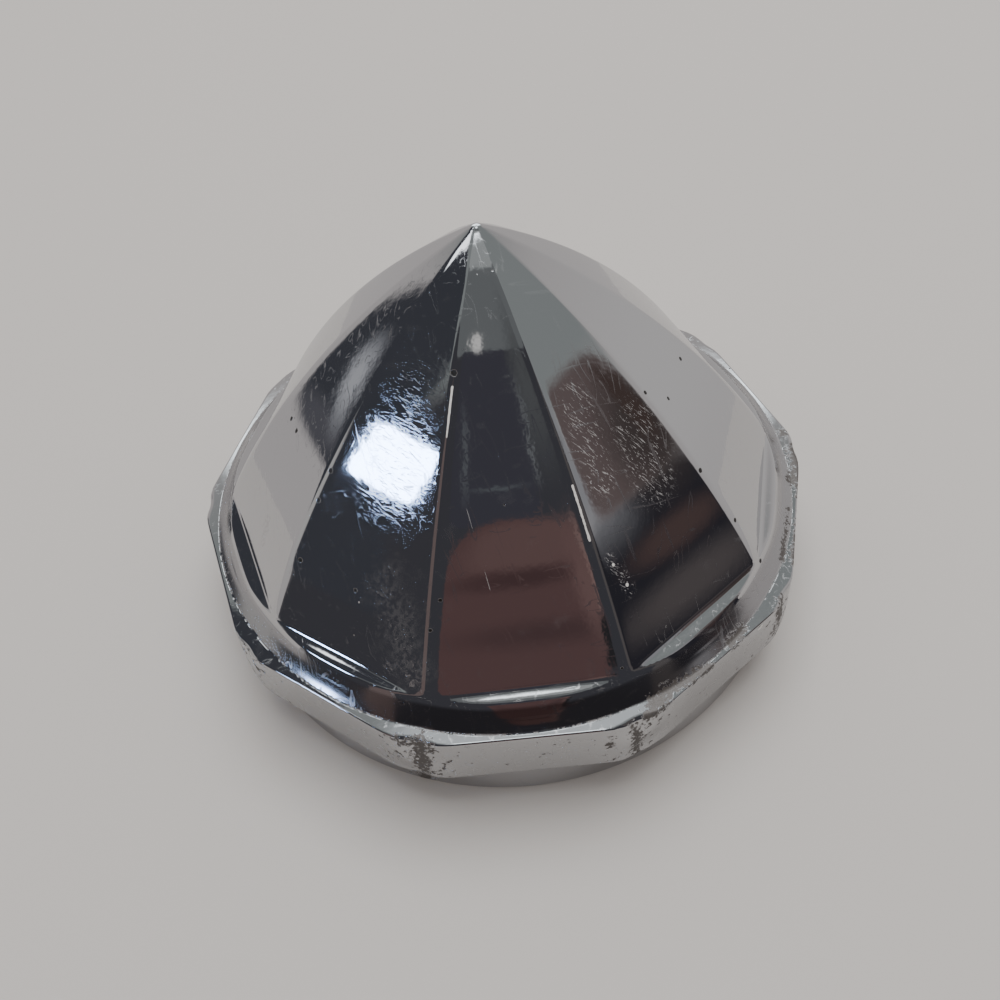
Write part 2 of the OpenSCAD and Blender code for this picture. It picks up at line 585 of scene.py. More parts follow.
@dataclass(frozen=True)
class NutSkin:
    """The nut's outside and inside as one fine mesh, with its worn corners and dents.

    Its columns are given in degrees from the middle of a side. Its rings are given by heights in millimetres
    and counts, or by shares of the way across a face.
    """

    sizes: NutSizes = NutSizes()
    front: float = -90.0
    coarse_step: float = 1.35
    fine_step: float = 0.24
    fine_from: float = 15.2
    fine_to: float = 20.4
    tip_spread: float = 62.0
    tip_rings: int = 8
    arc_rings: int = 48
    above_foot: float = 0.9
    foot_rings: tuple[tuple[float, int], ...] = ((3.2, 8), (1.2, 34), (0.9, 4), (0, 9))
    level_rings: tuple[float, ...] = (0.15, 0.5, 0.9, 1.0)
    edge_rings: tuple[float, ...] = (0.02, 0.06, 0.12, 0.2, 0.3, 0.42, 0.56, 0.7, 0.85, 1.2, 1.8, 2.6, 3.6)
    under_rings: tuple[float, ...] = (0.15, 0.85, 1.0)
    boss_rings: tuple[float, ...] = (7.2, 6.8, 5.0, 3.0, 1.2, 0.75, 0.6)
    face_rings: tuple[float, ...] = (0.03, 0.5, 0.97, 1.0)
    mouth_rings: tuple[float, ...] = (0.1, 0.9, 1.0)
    bore_margin: float = 0.2
    hollow_rings: int = 34
    corner_wear: float = 0.15 * MM
    ridge_wear: float = 0.14 * MM
    foot_wear: float = 0.35 * MM
    shrink: float = 0.9998
    merge_distance: float = 0.002 * MM
    sharp_angle: float = 38
    knocks: tuple[Knock, ...] = (
        Knock(-108, 15.6, 2.6, 0.75), Knock(-106, 12.0, 2.2, 0.35), Knock(-109, 8.4, 2.4, 0.55),
        Knock(-72, 15.8, 2.4, 0.6), Knock(-70, 9.5, 2.6, 0.45), Knock(-144, 15.9, 2.0, 0.4),
        Knock(-36, 15.9, 2.2, 0.5), Knock(-1, 15.4, 2.4, 0.5), Knock(34, 15.8, 2.0, 0.4),
        Knock(73, 8.3, 2.0, 0.4), Knock(109, 15.6, 2.2, 0.45), Knock(145, 12.0, 2.4, 0.35),
        Knock(180, 15.7, 2.2, 0.5),
    )

    def columns(self) -> np.ndarray:
        """Azimuths of the mesh's columns, close together at the corners and ridges.

        Returns:
            Azimuths in radians, once round, with the first one repeated at the end.
        """
        step = 360 / self.sizes.sides
        fine = np.arange(self.fine_from, self.fine_to, self.fine_step)
        start = self.fine_to - step
        count = round((self.fine_from - start) / self.coarse_step)
        coarse = np.linspace(start, self.fine_from, count, endpoint=False)
        sector = np.concatenate([coarse, fine])
        azimuths = np.concatenate([self.front + side * step + sector for side in range(self.sizes.sides)])
        return np.radians(np.append(azimuths, azimuths[0] + 360))

    def off_side(self, azimuths: np.ndarray, turn: float) -> np.ndarray:
        """Angle from the middle of the nearest side.

        Args:
            azimuths: Azimuths in radians.
            turn: Turn of the sides against the wrench flats, in degrees.

        Returns:
            The angles in radians, from minus to plus half a side.
        """
        step = 2 * self.sizes.half_side
        start = math.radians(self.front + turn)
        return (azimuths - start + step / 2) % step - step / 2

    @staticmethod
    def rounding(from_edge: float, radius: float) -> float:
        """How far a rounded edge stands back at a distance from it."""
        return radius - half_chord(radius, max(radius - from_edge, 0))

    def side_ring(self, azimuths: np.ndarray, height: float) -> Ring:
        """Outline of the flange's side with its bevels.

        Args:
            azimuths: Azimuths of the columns.
            height: Height of the ring.

        Returns:
            The height, and the distances from the axis.
        """
        sizes = self.sizes
        from_edge = min(height - sizes.boss_height, sizes.flange_top - height)
        flat = sizes.flat_radius - self.rounding(from_edge, sizes.edge_bevel)
        corner = sizes.corner_radius - self.rounding(from_edge, sizes.corner_bevel)
        return height, soft_minimum(flat / np.cos(self.off_side(azimuths, 0)), corner, self.corner_wear)

    def cap_ring(self, azimuths: np.ndarray, section: CapSection, height: float) -> Ring:
        """Outline of the cap.

        Args:
            azimuths: Azimuths of the columns.
            section: The cap's section.
            height: Height of the ring above the flange.

        Returns:
            The height above the boss's face, and the distances from the axis.
        """
        ball = np.full_like(azimuths, section.ball(height))
        place_at = self.sizes.flange_top + height
        if height >= section.ring_height:
            return place_at, ball
        off = self.off_side(azimuths, self.sizes.facet_turn)
        off_ridge = self.sizes.half_side - np.abs(off)
        facet = np.minimum(section.facet(height) / np.cos(off), self.sizes.flats_width)
        land = np.minimum(section.land(height) / np.cos(off_ridge), self.sizes.flats_width)
        cut = soft_minimum(soft_minimum(facet, land, self.ridge_wear), section.blank(height), self.foot_wear)
        return place_at, np.maximum(cut, ball) if height > section.ball_height else cut

    def cap_heights(self, section: CapSection) -> list[float]:
        """Heights of the cap's rings above the flange.

        Args:
            section: The cap's section.

        Returns:
            The heights from the tip down, closest together at the feet of the facets.
        """
        sizes = self.sizes
        spread = np.radians(np.linspace(0, self.tip_spread, self.tip_rings))
        heights = [*(section.ball_height + sizes.tip_radius * np.cos(spread))]
        low = sizes.facet_foot + self.above_foot * MM
        turns = [math.asin((end - section.centre[1]) / sizes.facet_radius) for end in (heights[-1], low)]
        arc = section.centre[1] + sizes.facet_radius * np.sin(np.linspace(*turns, self.arc_rings))
        heights += [*arc[1:]]
        for end, count in self.foot_rings:
            heights += [*np.linspace(low, end * MM, count)[1:]]
            low = end * MM
        return heights

    @staticmethod
    def run(start: Ring, end: Ring, shares: Sequence[float]) -> list[Ring]:
        """Rings on the straight way from one ring to another, at shares of that way."""
        (low, inner), (high, outer) = start, end
        return [(low + share * (high - low), inner + share * (outer - inner)) for share in shares]

    def outside_rings(self, azimuths: np.ndarray) -> list[Ring]:
        """Rings of the outside from the tip down and round the foot.

        Args:
            azimuths: Azimuths of the columns.

        Returns:
            For each ring its height and its distance from the axis in each column.
        """
        sizes = self.sizes
        section = CapSection(sizes)
        top, low = sizes.flange_top, sizes.boss_height
        all_round = np.ones_like(azimuths)
        rings = [self.cap_ring(azimuths, section, height) for height in self.cap_heights(section)]
        root = (top, sizes.root_radius * all_round)
        rings += self.run(root, self.side_ring(azimuths, top), self.level_rings)
        steps = np.array(self.edge_rings) * MM
        sides = [*(top - steps), (top + low) / 2, *(low + steps[::-1]), low]
        rings += [self.side_ring(azimuths, height) for height in sides]
        boss = (sizes.flat_radius - sizes.boss_step) * all_round
        rings += self.run(rings[-1], (low, boss), self.under_rings)
        rings += [(height * MM, boss) for height in self.boss_rings]
        foot = (0.0, boss - sizes.boss_bevel)
        rings += self.run((sizes.boss_bevel, boss), foot, (0.5, 1.0))
        mouth = (0.0, (sizes.bore_radius + sizes.mouth_bevel) * all_round)
        return rings + self.run(foot, mouth, self.face_rings)

    def inside_rings(self, azimuths: np.ndarray) -> list[Ring]:
        """Rings of the inside from the mouth up to the top of the hollow.

        Args:
            azimuths: Azimuths of the columns.

        Returns:
            For each ring its height and its distance from the axis in each column.
        """
        sizes = self.sizes
        section = CapSection(sizes)
        all_round = np.ones_like(azimuths)
        wall = HubThread().root_radius * all_round
        mouth = (sizes.bore_radius + sizes.mouth_bevel) * all_round
        rings = self.run((0.0, mouth), (mouth[0] - wall[0], wall), self.mouth_rings)
        top = sizes.thread_top
        rings += [(height, wall) for height in (1.0 * MM, top - self.bore_margin * MM, top)]
        rise = sizes.flange_top + section.hollow_top - top
        for share in np.sin(np.linspace(0, math.pi / 2, self.hollow_rings)):
            height = top + share * rise
            radius = section.hollow(height - sizes.flange_top) if share < 1 else 0.0
            rings.append((height, radius * all_round))
        return rings

    def knock_in(self, points: np.ndarray) -> np.ndarray:
        """Press the dents into the outside of the mesh.

        Args:
            points: The vertices.

        Returns:
            The vertices moved towards the axis near each knock.
        """
        radii = np.hypot(points[:, 0], points[:, 1])
        outside = radii > self.sizes.ridge_foot_radius
        inward = -points[:, :2] / np.maximum(radii, NEVER_ZERO)[:, None]
        corner = self.sizes.corner_radius
        moved = points.copy()
        for knock in self.knocks:
            angle = math.radians(knock.azimuth)
            centre = np.array([corner * math.cos(angle), corner * math.sin(angle), knock.height * MM])
            gap = np.linalg.norm(points - centre, axis=1) / (knock.radius * MM)
            depth = knock.depth * MM * np.exp(-(gap**2)) * outside
            moved[:, :2] += inward * depth[:, None]
        return moved

    def build(self) -> bpy.types.Object:
        """Wrap a grid round the nut's section.

        Returns:
            The finished piece.
        """
        azimuths = self.columns()
        outside = self.outside_rings(azimuths)
        rings = outside + self.inside_rings(azimuths)
        last_column, last_ring = len(azimuths) - 1, len(rings) - 1
        deselect_all()
        bpy.ops.mesh.primitive_grid_add(x_subdivisions=last_column, y_subdivisions=last_ring, size=1)
        piece = take_new("nut_skin")
        grid = coordinates(piece.data)
        column = np.rint((grid[:, 0] + 0.5) * last_column).astype(int)
        ring = np.rint((0.5 - grid[:, 1]) * last_ring).astype(int)
        heights = np.array([height for height, _ in rings])
        radii = np.array([outline for _, outline in rings])[ring, column]
        points = np.column_stack([
            radii * np.cos(azimuths[column]), radii * np.sin(azimuths[column]), heights[ring]])
        place(piece.data, self.knock_in(points) * self.shrink)
        for face in piece.data.polygons:
            face.material_index = int(max(ring[face.vertices[0]], ring[face.vertices[2]]) >= len(outside))
        close_up(piece, self.merge_distance)
        smooth_shade(piece, self.sharp_angle)
        return piece


@dataclass(frozen=True)
class HubThread:
    """The left-hand thread in the bore, as one helical rib."""

    sizes: NutSizes = NutSizes()
    pitch: float = 3.175 * MM
    depth: float = 1.9 * MM
    crest_share: float = 0.14
    root_share: float = 0.96
    embed: float = 0.25 * MM
    lead: float = 0.2 * MM
    steps: int = 96
    taper_steps: int = 30
    sharp_angle: float = 30

    @property
    def root_radius(self) -> float:
        """Radius of the bottom of the thread's grooves."""
        return self.sizes.bore_radius + self.depth

    def build(self) -> bpy.types.Object:
        """Wind the rib's section round the bore with the Screw modifier.

        Returns:
            The finished piece.
        """
        start = self.sizes.mouth_bevel - self.lead + self.pitch / 2
        turns = (self.sizes.thread_top - start - self.pitch / 2) / self.pitch
        deselect_all()
        bpy.ops.mesh.primitive_plane_add(size=1)
        piece = take_new("hub_thread")
        shape = coordinates(piece.data)
        outer = shape[:, 0] > 0
        half_height = np.where(outer, self.root_share, self.crest_share) * self.pitch / 2
        place(piece.data, np.column_stack([
            np.where(outer, self.root_radius + self.embed, self.sizes.bore_radius),
            np.zeros(len(shape)),
            start + np.where(shape[:, 1] > 0, 1, -1) * half_height]))
        bpy.ops.object.mode_set(mode="EDIT")
        bpy.ops.mesh.select_all(action="SELECT")
        bpy.ops.mesh.delete(type="ONLY_FACE")
        bpy.ops.object.mode_set(mode="OBJECT")
        screw = piece.modifiers.new("helix", "SCREW")
        screw.axis = "Z"
        screw.angle = -2 * math.pi * turns
        screw.screw_offset = self.pitch * turns
        screw.steps = screw.render_steps = round(self.steps * turns)
        screw.use_merge_vertices = False
        bpy.ops.object.modifier_apply(modifier=screw.name)
        self.taper(piece)
        bpy.ops.object.mode_set(mode="EDIT")
        bpy.ops.mesh.select_all(action="DESELECT")
        bpy.ops.mesh.select_non_manifold(extend=False)
        bpy.ops.mesh.edge_face_add()
        finish_outwards()
        smooth_shade(piece, self.sharp_angle)
        return piece

    def taper(self, piece: bpy.types.Object) -> None:
        """Let both ends of the rib run out into the wall.

        Args:
            piece: The wound rib.
        """
        points = coordinates(piece.data)
        radii = np.hypot(points[:, 0], points[:, 1])
        low, high = points[:, 2].min(), points[:, 2].max()
        run = self.pitch * self.taper_steps / self.steps
        from_end = np.minimum(points[:, 2] - low, high - points[:, 2])
        share = np.clip((from_end - self.pitch / 2) / run, 0, 1)
        sunk = self.root_radius + self.embed / 2
        crest_now = np.where(radii < self.root_radius, sunk - share * (sunk - radii), radii)
        points[:, :2] *= (crest_now / radii)[:, None]
        place(piece.data, points)


# ---------------------------------------------------------------- finishes


@dataclass(frozen=True)
class Mark:
    """A worn place along a short line, or round a point, in millimetres of the part's frame."""

    start: Point
    end: Union[Point, None] = None
    reach: float = 0.35

    def span(self, finish: Finish, point: Signal) -> Signal:
        """Measure the distance from the mark as a share of its reach.

        Args:
            finish: The node tree.
            point: The place in millimetres.

        Returns:
            0 at the mark, 1 at its reach.
        """
        gap = finish.distance_to_line(point, self.start, self.end) if self.end else \
            finish.distance(point, self.start)
        return gap * (1 / self.reach)


def dots(reach: float, *points: Point) -> tuple[Mark, ...]:
    """Return round marks of one reach."""
    return tuple(Mark(point, reach=reach) for point in points)


PITS = (
    *dots(0.22, (12.0, -36.2, 20.3)), *dots(0.25, (-8.3, -30.5, 29.7)), *dots(0.45, (-4.1, -13.3, 48.5)),
    *dots(0.3, (-9.9, -32.5, 26.7), (17.9, -12.0, 41.4), (21.1, -10.4, 38.5), (-18.7, -26.1, 27.2)),
    *dots(0.35, (-26.1, -4.0, 35.4), (-25.3, -6.3, 35.4), (24.2, -2.6, 37.7), (24.2, -17.1, 32.4),
          (28.7, -19.8, 25.4), (32.4, -21.7, 18.8), (-20.1, -15.7, 37.3), (-22.1, -17.4, 34.2),
          (-25.6, -21.0, 27.5)),
)
GRIME = (
    Mark((-12.6, -41.1, 16.3), (-13.3, -41.6, 8.5), 1.2), Mark((-14.0, -38.5, 1.1), reach=1.5),
    Mark((-11.6, -42.0, 14.8), (-15.4, -40.6, 15.6), 0.9), Mark((9.9, -42.0, 12.4), reach=0.7),
    Mark((13.2, -41.8, 15.6), (13.6, -41.6, 8.2), 0.9), Mark((14.8, -40.5, 16.1), (17.5, -37.6, 16.4), 1.0),
    Mark((34.7, -26.4, 15.7), (33.6, -26.4, 10.0), 1.1), Mark((41.2, -6.6, 16.3), (43.3, -1.0, 14.0), 1.0),
    Mark((36.0, -20.0, 16.3), (38.6, -12.0, 16.3), 0.6), Mark((43.2, -0.6, 16.2), (42.0, -9.4, 16.2), 1.2),
    Mark((42.4, 2.8, 16.3), reach=0.9), Mark((41.4, -11.4, 16.2), (37.6, -20.6, 16.2), 0.8),
    Mark((15.4, -38.7, 16.3), (23.2, -34.9, 16.3), 0.75), Mark((28.2, -30.2, 16.4), (26.4, -32.0, 16.3), 0.8),
)
HAZES = (
    Mark((-14.2, -27.6, 29.5), (-13.4, -34.4, 21.8), 4.2),
    Mark((-31.0, -12.2, 25.4), (-32.2, -13.5, 23.0), 1.6),
)
# Painted shade on two flats at the front right.
SHADED_FLATS = (
    Mark((22.0, -35.0, 12.0), (33.0, -28.0, 12.0), 7.0), Mark((39.0, -14.0, 12.0), reach=6.0),
)
POLISHED = (Mark((-9.2, -12.9, 46.2), (-13.2, -21.4, 36.4), 5.8),)
SCUFFS = (
    Mark((9.2, -15.2, 44.4), (11.3, -21.7, 37.6), 2.6), Mark((16.2, -15.6, 39.3), (17.8, -19.6, 34.6), 4.0),
    Mark((11.6, -28.1, 30.9), (13.8, -29.9, 27.1), 1.1),
)
# Painted glints: pale, nearly non-metal spots and short lines on the ridges and facets that stand in for
# sparkles of light.
PAINTED_GLINTS = (
    *dots(0.15, (12.7, -29.2, 29.1), (12.1, -29.3, 28.5)), *dots(0.2, (-18.5, -27.2, 26.2)),
    *dots(0.22, (11.9, -28.4, 30.4)), *dots(0.25, (13.4, -29.6, 27.8)), *dots(0.5, (30.9, -29.5, 15.3)),
    Mark((7.9, -22.9, 38.6), (9.3, -27.0, 33.6), 0.16), Mark((-4.4, -14.4, 47.5), (-5.6, -18.4, 43.8), 0.14),
    Mark((-17.3, -25.8, 29.2), (-16.6, -26.2, 29.3), 0.14),
)
HAIRS = (
    Mark((-4.2, -24.0, 37.8), (-2.5, -30.1, 30.1), 0.05), Mark((-1.5, -28.5, 32.8), (1.8, -33.6, 25.4), 0.04),
    Mark((3.0, -26.2, 35.2), (4.2, -30.8, 29.1), 0.04),
)


@dataclass(frozen=True)
class Hairlines:
    """Thin winding lines: the level lines of a stretched noise, broken into short pieces.

    The turn is in degrees. Along and across are the noise's repeats for each millimetre. The width is how far
    a line reaches to either side, as a share of the way to the next one, and the solid part of that is full.
    """

    turn: Point
    along: float
    across: float
    shift: Point
    width: float
    levels: float = 3
    solid: float = 0.3
    piece_scale: float = 2.3
    piece_edge: tuple[float, float] = (0.45, 0.6)

    def mask(self, finish: Finish, point: Signal) -> Signal:
        """Draw the lines.

        Args:
            finish: The node tree.
            point: The place in millimetres.

        Returns:
            1 on the lines and 0 beside them.
        """
        stretch = (self.along, self.across, self.across)
        swell = finish.noise(finish.turned(point, self.turn, stretch, self.shift), 1.0, 1.0, 0.4)
        line = (swell * self.levels).math("PINGPONG", 0.5).step(self.width, self.width * self.solid)
        short = [part * self.piece_scale for part in stretch]
        pieces = finish.noise(finish.turned(point, self.turn, short, self.shift), 1.0, 0.0)
        return line * pieces.step(*self.piece_edge)


LONG_SCRATCHES = (
    Hairlines((0, 12, 20), 0.05, 0.55, (3, 1, 2), 0.05), Hairlines((0, 52, -60), 0.05, 0.6, (7, 5, 1), 0.05),
    Hairlines((0, -35, 100), 0.06, 0.5, (2, 8, 4), 0.045),
)
RUBBED_SCRATCHES = (
    Hairlines((0, 8, -35), 0.13, 3.6, (1, 2, 9), 0.15), Hairlines((0, -14, -35), 0.15, 3.0, (4, 2, 3), 0.14),
    Hairlines((0, 20, -50), 0.12, 2.6, (9, 4, 1), 0.1),
)
STROKES = (
    Hairlines((0, 36, -20), 0.14, 2.8, (5, 2, 9), 0.12), Hairlines((0, 30, -35), 0.2, 3.6, (2, 7, 3), 0.11),
)


@dataclass(frozen=True)
class Zone:
    """A ring round the nut, in millimetres: lower end, upper end and softness of its radii and heights."""

    radii: Point
    heights: Point

    def mask(self, radius: Signal, high: Signal) -> Signal:
        """Return 1 in the zone and 0 outside it."""
        return radius.band(*self.radii) * high.band(*self.heights)


class PlateWearAndPaintedLight:
    """The kinds of wear on the plating, with its painted shade and painted glints, each a mask from 0 to 1
    over the nut.
    """

    shoulder = Zone((38.7, 41.2, 0.25), (16.2, 18.4, 0.5))
    seam = Zone((40.8, 41.8, 0.4), (7.0, 7.6, 0.3))
    # Crease at the root of the hollow shoulder, darkened with painted shade.
    shoulder_root = Zone((41.2, 41.42, 0.1), (16.2, 16.6, 0.1))
    flange_radii = (41.3, 41.7)
    flange_heights = (7.4, 16.15, 0.15)
    corner_radii = (42.3, 43.7)
    front_ahead = (-32, -39)
    foot_heights = (0.3, 0.05)
    mark_edge = 1.05
    pit_sizes = (0.08, 0.045)
    pitted = (0.6, 0.66)
    corner_dirt = 0.11
    dirt_patches = 0.25
    blotch_edge = (0.66, 0.7)
    faint_haze = 0.2
    faint_hairs = 0.3
    faint_strokes = 0.4
    faint_scratches = 0.55

    def __init__(self, finish: Finish) -> None:
        """Measure the place on the nut, and make the noises that break up the wear.

        Args:
            finish: The node tree of the plating.
        """
        self.finish = finish
        self.point = finish.millimetres()
        across, ahead, self.high = finish.axes(self.point)
        self.radius = (across * across + ahead * ahead).math("SQRT")
        self.coarse = finish.noise(self.point, 0.35, 3.0, 0.6)
        self.ragged = finish.noise(self.point, 1.9, 3.0, 0.6)
        self.fine = finish.noise(self.point, 6.0, 2.0, 0.6)
        self.flange = self.radius.step(*self.flange_radii) * self.high.band(*self.flange_heights)
        self.hollow = self.shoulder.mask(self.radius, self.high)
        self.front = ahead.step(*self.front_ahead)
        self.foot = self.high.step(*self.foot_heights)
        self.turned_rings = (self.radius * 6.0 + self.ragged * 4.0).math("SINE")

    def near(self, marks: Sequence[Mark], edge: Union[Signal, None] = None, soft: float = 0.3,
             wild: float = 1.0) -> Signal:
        """Give 1 on any of the marks and 0 away from them.

        Args:
            marks: The marks.
            edge: The noise that makes their outlines ragged, if not the usual one.
            soft: Share of a mark's reach over which it fades.
            wild: How far the noise moves the outlines, as a share of the reach.

        Returns:
            The mask.
        """
        nearest = reduce(Signal.least, [mark.span(self.finish, self.point) for mark in marks])
        noise = edge or self.ragged
        return (nearest + (noise - 0.5) * wild).step(self.mark_edge, self.mark_edge - soft)

    def lines(self, kinds: Sequence[Hairlines]) -> Signal:
        """Return 1 on any of several kinds of hairlines."""
        return most_of([kind.mask(self.finish, self.point) for kind in kinds])

    def scratches(self) -> Signal:
        """Return the scratches: a few faint long ones all over, and dense short ones where it was polished."""
        rubbed = self.lines(RUBBED_SCRATCHES) * self.near(POLISHED, soft=0.9)
        return rubbed.most(self.lines(LONG_SCRATCHES) * self.faint_scratches)

    def pits(self) -> Signal:
        """Return the pits of the front and sparse ones all round."""
        sparse = self.finish.cells(self.point, 0.5).step(*self.pit_sizes) * self.coarse.step(*self.pitted)
        return self.near(PITS).most(sparse)

    def dirt_and_root_shade(self) -> Signal:
        """Gather what is dark and rough: grime, worn corners, a speckled dark band where the flange's
        underside meets the boss, and painted shade in the crease at the root of the hollow shoulder.

        Returns:
            The mask.
        """
        blotch = self.finish.noise(self.point, 0.9, 5.0, 0.68) + (self.coarse - 0.5) * self.dirt_patches
        blotch = blotch + self.radius.step(*self.corner_radii) * self.corner_dirt
        speckle = self.ragged + self.coarse
        seam = self.seam.mask(self.radius, self.high) * speckle.step(0.9, 1.15) * 0.8
        # Painted shade in the crease at the root of the hollow shoulder.
        root = self.shoulder_root.mask(self.radius, self.high) * speckle.step(0.95, 1.1) * 0.7
        spots = blotch.step(*self.blotch_edge) * self.flange
        return most_of([self.near(GRIME, soft=0.5, wild=4.0), spots, seam, root])

    def haze(self) -> Signal:
        """Return the mottled haze on two facets and a faint one all over."""
        patches = self.near(HAZES, self.coarse, 0.9, 2.0) * self.ragged.step(0.4, 0.6)
        return (patches * (self.fine * 0.9 + 0.1)).most(self.coarse.step(0.6, 0.8) * self.faint_haze)

    def glints_and_pale_lines(self) -> Signal:
        """Return the painted glints, the faint hairs and the short pale strokes of the scuffed places."""
        strokes = self.lines(STROKES) * self.near(SCUFFS, soft=0.6)
        return most_of([self.near(PAINTED_GLINTS), self.near(HAIRS) * self.faint_hairs, strokes * self.faint_strokes])

    def painted_shade(self) -> Signal:
        """Return the painted shade in the hollow shoulder, strongest at the front, and on two flats at the
        front right.
        """
        flat_shade = self.near(SHADED_FLATS, self.coarse, 0.9) * self.flange * 0.35
        return (self.hollow * (self.front * 0.6 + 0.4)).most(flat_shade)

    def dullness(self) -> Signal:
        """Return where the plating is dull: on the flange, and in rings on the turned face of the boss."""
        return (self.flange * 0.35).most(self.foot * (0.5 + self.turned_rings * 0.2))


@dataclass(frozen=True)
class Layer:
    """What one kind of wear, painted shade or painted glint does to the plating where its mask is 1.

    Its tint hides what is below it as far as the cover says. The relief is in millimetres.
    """

    mask: Signal
    tint: Union[Color, None] = None
    cover: Term = 1
    roughness: float = 0
    metal_loss: float = 0
    relief: float = 0


@dataclass(frozen=True)
class ChromePlate:
    """Worn bright chrome: fine scratches, haze, pits and grime at the worn corners, with painted shade and
    painted glints.
    """

    tint: Color = (0.62, 0.62, 0.63)
    glint_and_scratch_tint: Color = (0.85, 0.84, 0.81)
    dull_tint: Color = (0.5, 0.5, 0.49)
    painted_shade_tint: Color = (0.2, 0.18, 0.18)
    haze_tint: Color = (0.24, 0.21, 0.20)
    grime_and_shade_tint: Color = (0.055, 0.045, 0.038)
    pit_tint: Color = (0.02, 0.018, 0.016)
    clean_rough: float = 0.04
    most_rough: float = 0.85

    def layers(self, wear: PlateWearAndPaintedLight) -> list[Layer]:
        """Say what each kind of wear, painted shade and painted glint does.

        Args:
            wear: The plating's wear, with its painted shade and painted glints.

        Returns:
            The layers, the lowest first.
        """
        dirt_and_root_shade, pits = wear.dirt_and_root_shade(), wear.pits()
        return [
            Layer(wear.scratches(), roughness=0.26, relief=-0.0009),
            # Painted shade in the hollow shoulder and on two flats at the front right.
            Layer(wear.painted_shade(), self.painted_shade_tint, cover=0.85),
            Layer(wear.haze(), self.haze_tint, cover=0.3, roughness=0.2, metal_loss=0.14),
            # Painted glints, with the faint hairs and the short pale strokes.
            Layer(wear.glints_and_pale_lines(), self.glint_and_scratch_tint, roughness=0.3, metal_loss=0.9),
            Layer(wear.dullness(), self.dull_tint),
            # Grime, with painted shade in the crease at the root of the shoulder.
            Layer(dirt_and_root_shade, self.grime_and_shade_tint, cover=0.8 + 0.2 * wear.fine, relief=-0.04),
            Layer(pits, self.pit_tint, relief=-0.02),
            Layer(dirt_and_root_shade.most(pits), roughness=0.4, metal_loss=0.7),
            Layer(wear.flange, roughness=0.12),
            Layer(wear.hollow * (1 - wear.front * 0.625), roughness=0.16),
            Layer(wear.foot * (1 + wear.turned_rings * 0.35), roughness=0.2),
            Layer(wear.coarse, relief=0.01),
            Layer(wear.flange * wear.fine, relief=0.0015),
        ]

    def build(self) -> bpy.types.Material:
        """Make the plating's material.

        Returns:
            The material.
        """
        material = bpy.data.materials.new("worn_chrome_with_painted_light")
        finish = Finish(material)
        layers = self.layers(PlateWearAndPaintedLight(finish))
        color: Value = self.tint
        for layer in layers:
            if layer.tint:
                color = finish.blend(layer.mask * layer.cover, color, layer.tint)
        rough = sum((layer.mask * layer.roughness for layer in layers if layer.roughness), self.clean_rough)
        loss = sum(layer.mask * layer.metal_loss for layer in layers if layer.metal_loss)
        height = sum(layer.mask * layer.relief for layer in layers if layer.relief)
        finish.surface(finish.node("ShaderNodeBsdfPrincipled", {}, {
            "Base Color": color, "Metallic": 1.0 - loss, "Roughness": rough.least(self.most_rough),
            "Normal": finish.bump(height, MM)}))
        return material


@dataclass(frozen=True)
class CastMetal:
    """Unplated casting inside the cap, darkened by old grease."""

    tint: Color = (0.30, 0.285, 0.26)
    grease: Color = (0.06, 0.05, 0.04)

    def build(self) -> bpy.types.Material:
        """Make the material of the inside.

        Returns:
            The material.
        """
        material = bpy.data.materials.new("cast_inside")
        finish = Finish(material)
        point = finish.millimetres()
        patches = finish.noise(point, 0.18, 4.0, 0.6)
        grain = finish.noise(point, 3.5, 2.0, 0.6)
        finish.surface(finish.node("ShaderNodeBsdfPrincipled", {}, {
            "Base Color": finish.blend(patches.step(0.42, 0.62), self.tint, self.grease),
            "Metallic": 0.8, "Roughness": 0.42 + grain * 0.25, "Normal": finish.bump(grain * 0.06, MM)}))
        return material


@dataclass(frozen=True)
class ThreadMetal:
    """Oiled bare metal of the thread."""

    tint: Color = (0.42, 0.40, 0.37)
    rough: float = 0.3

    def build(self) -> bpy.types.Material:
        """Make the thread's material.

        Returns:
            The material.
        """
        material = bpy.data.materials.new("thread_metal")
        finish = Finish(material)
        finish.surface(finish.node("ShaderNodeBsdfPrincipled", {}, {
            "Base Color": self.tint, "Metallic": 1.0, "Roughness": self.rough}))
        return material


# ---------------------------------------------------------------- studio


@dataclass(frozen=True)
class PhotoCamera:
    """The camera of the photograph, placed by its angles round the middle of the flange's upper face."""

    focal_pixels: float = 921.14
    frame_pixels: float = 1000
    sensor: float = 36.0
    elevation: float = 49.48
    azimuth: float = 0.39
    roll: float = -5.95
    distance: float = 135.4 * MM
    slide_right: float = -0.525 * MM
    slide_up: float = -3.71 * MM
    aim_height: float = 16.3 * MM
    nearest: float = 0.001
    farthest: float = 20

    def build(self) -> None:
        """Place the camera and make it the scene's."""
        tilt = math.radians(self.elevation)
        turn = Matrix.Rotation(math.radians(self.azimuth), 3, "Z")
        forward = turn @ Vector((0, math.cos(tilt), -math.sin(tilt)))
        right = turn @ Vector((1, 0, 0))
        up = right.cross(forward)
        place_at = Vector((0, 0, self.aim_height)) - forward * self.distance
        place_at += right * self.slide_right + up * self.slide_up
        roll = math.radians(self.roll)
        camera_right = right * math.cos(roll) + up * math.sin(roll)
        camera_up = up * math.cos(roll) - right * math.sin(roll)
        pose = Matrix((camera_right, camera_up, -forward)).transposed().to_4x4()
        pose.translation = place_at
        data = bpy.data.cameras.new("photo_camera")
        data.sensor_width = self.sensor
        data.lens = self.focal_pixels / self.frame_pixels * self.sensor
        data.clip_start, data.clip_end = self.nearest, self.farthest
        camera = bpy.data.objects.new("photo_camera", data)
        bpy.context.scene.collection.objects.link(camera)
        camera.matrix_world = pose
        bpy.context.scene.camera = camera


